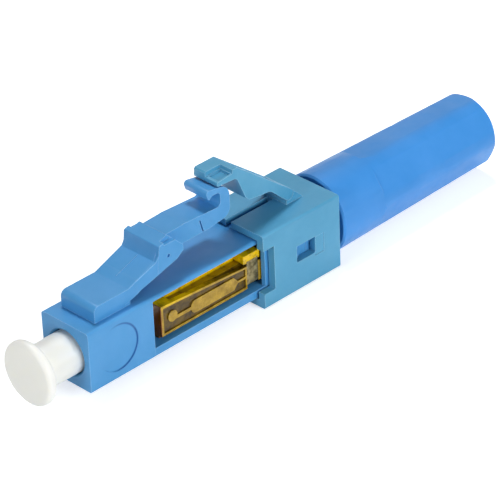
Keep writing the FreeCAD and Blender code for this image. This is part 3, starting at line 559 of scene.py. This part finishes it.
REAR_BLUE = moulded_blue("rear_blue", colour=(0.065, 0.30, 0.50), pale=(0.10, 0.36, 0.57),
                         edge_highlight=(0.28, 0.55, 0.72), ring_shade=(0.01, 0.12, 0.3), roughness=0.4)
finish_with(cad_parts["rear_housing"], REAR_BLUE)
soften(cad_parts["rear_housing"], HOUSING_EDGE, CRISP_ROUND)

trigger = reshaped("trigger_arm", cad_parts["trigger_lever"])
carved(trigger, prism("above_tip", ABOVE_TIP, -2 * TIP_HALF, 2 * TIP_HALF), "DIFFERENCE")
carved(trigger, prism("tip_block", TIP_BLOCK, *BLOCK_SIDES), "UNION")
finish_with(trigger, REAR_BLUE)
soften(trigger, TRIGGER_EDGE, CRISP_ROUND)
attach(trigger, "trigger")
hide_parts("trigger_lever")


# --- Cable collet and tail nut --------------------------------------------------------------------
# The nut, moulded in a brighter blue plastic, screws on to the backbone's barrel and squeezes a
# slotted collet round the cable.  Six long flats on its rear half give fingers a grip.

NUT_EDGE = 0.05 * MM
NUT_BLUE = moulded_blue("nut_blue", colour=(0.035, 0.25, 0.66), pale=(0.055, 0.285, 0.72),
                        edge_highlight=(0.16, 0.42, 0.84), ring_shade=(0.01, 0.1, 0.4), roughness=0.38)
for name in ("cable_collet", "tail_nut"):
    finish_with(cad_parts[name], NUT_BLUE)
    soften(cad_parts[name], NUT_EDGE, CRISP_ROUND)


# --- Dust cap -------------------------------------------------------------------------------------
# A cap in soft milky plastic keeps dirt off the ferrule's face.  It is moulded in one piece with a
# round finger rim at its front, and is held on the ferrule by a light push fit.

CAP_EDGE = 0.12 * MM


def milky_plastic():
    """Soft white plastic that glows a little where light enters it."""
    material, tree, shader = new_material("milky_plastic")
    set_inputs(shader, Base_Color=(0.86, 0.865, 0.82, 1), Roughness=0.42, Subsurface_Weight=0.6,
               Subsurface_Scale=0.9 * MM, Subsurface_Radius=(1.0, 0.95, 0.8))
    grain(tree, shader, scale=2600, height=0.006 * MM)
    return material


finish_with(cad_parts["dust_cap"], milky_plastic())
soften(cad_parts["dust_cap"], CAP_EDGE, CRISP_ROUND)


# --- Floor, light and camera ----------------------------------------------------------------------
# The plug lies on a pale, matt floor under three soft boxes.  The camera looks down on its near
# side, from in front of the nose.

FLOOR_WIDTH = 2.4
FLOOR_MIDDLE = 0.02
FLOOR_LIFT = 0.62
GLOW_NEAR = 0.06
GLOW_FAR = 0.4
SKY_LEVEL = 0.07
LAMP_AIM = Vector((0.018, 0, 0))
CAMERA_AIM = Vector((0.020, 0, 0))
CAMERA_TURN = math.radians(44.38)
CAMERA_DROP = math.radians(31.51)
CAMERA_ROLL = math.radians(-2.13)
CAMERA_RANGE = 0.220


def seen_directly(tree):
    """One for the camera's own rays and for those by way of gloss or clear plastic, else nought."""
    path = tree.nodes.new("ShaderNodeLightPath")
    either = reckon(tree, "MAXIMUM", path.outputs["Is Camera Ray"], path.outputs["Is Glossy Ray"])
    return reckon(tree, "MAXIMUM", either, path.outputs["Is Transmission Ray"])


def pale_floor():
    """Matt floor that keeps the plug's shadow and brightens to plain white further away."""
    material, tree, shader = new_material("pale_floor")
    set_inputs(shader, Base_Color=(0.86, 0.86, 0.86, 1), Roughness=0.9, Specular_IOR_Level=0.1,
               Emission_Color=(1, 1, 1, 1))
    place = tree.nodes.new("ShaderNodeTexCoord")
    away = tree.nodes.new("ShaderNodeVectorMath")
    away.operation = "LENGTH"
    tree.links.new(place.outputs["Object"], away.inputs[0])
    glow = add(tree, "ShaderNodeMapRange", From_Min=GLOW_NEAR, From_Max=GLOW_FAR,
               To_Min=FLOOR_LIFT, To_Max=1.0)
    tree.links.new(away.outputs["Value"], glow.inputs["Value"])
    lift = reckon(tree, "MULTIPLY", seen_directly(tree), glow.outputs["Result"])
    tree.links.new(lift, shader.inputs["Emission Strength"])
    return material


def soft_lamp(name, place, size, watts):
    """Square soft box aimed at the middle of the plug."""
    data = bpy.data.lights.new(name, "AREA")
    data.shape = "SQUARE"
    data.size = size
    data.energy = watts
    lamp = bpy.data.objects.new(name, data)
    lamp.location = LAMP_AIM + Vector(place)
    lamp.rotation_euler = (LAMP_AIM - lamp.location).to_track_quat("-Z", "Y").to_euler()
    bpy.context.scene.collection.objects.link(lamp)


bpy.ops.mesh.primitive_plane_add(size=FLOOR_WIDTH, location=(FLOOR_MIDDLE, 0, CAD_BOX[0][2]))
floor = bpy.context.object
floor.name = "floor"
floor.data.materials.append(pale_floor())

world = bpy.data.worlds.new("studio")
world.use_nodes = True
bpy.context.scene.world = world
sky = world.node_tree.nodes["Background"]
sky.inputs["Color"].default_value = (1, 1, 1, 1)
level = add(world.node_tree, "ShaderNodeMapRange", To_Min=SKY_LEVEL, To_Max=1.0)
world.node_tree.links.new(seen_directly(world.node_tree), level.inputs["Value"])
world.node_tree.links.new(level.outputs["Result"], sky.inputs["Strength"])

soft_lamp("overhead", place=(0.07, 0.09, 0.33), size=0.08, watts=0.68)
soft_lamp("front", place=(0.04, -0.33, 0.11), size=0.15, watts=0.79)
soft_lamp("left", place=(-0.33, -0.05, 0.10), size=0.12, watts=0.44)

look = Vector((math.sin(CAMERA_TURN) * math.cos(CAMERA_DROP),
               math.cos(CAMERA_TURN) * math.cos(CAMERA_DROP), -math.sin(CAMERA_DROP)))
camera_data = bpy.data.cameras.new("camera")
camera_data.lens = 227.6
camera_data.sensor_width = 36
camera_data.clip_start = 0.01
camera_data.shift_x = -0.0585
camera_data.shift_y = -0.0328
camera = bpy.data.objects.new("camera", camera_data)
camera.location = CAMERA_AIM - look * CAMERA_RANGE
camera.rotation_mode = "QUATERNION"
camera.rotation_quaternion = (look.to_track_quat("-Z", "Y")
                              @ Matrix.Rotation(CAMERA_ROLL, 3, "Z").to_quaternion())
bpy.context.scene.collection.objects.link(camera)
bpy.context.scene.camera = camera
bpy.context.scene.view_settings.view_transform = "Standard"
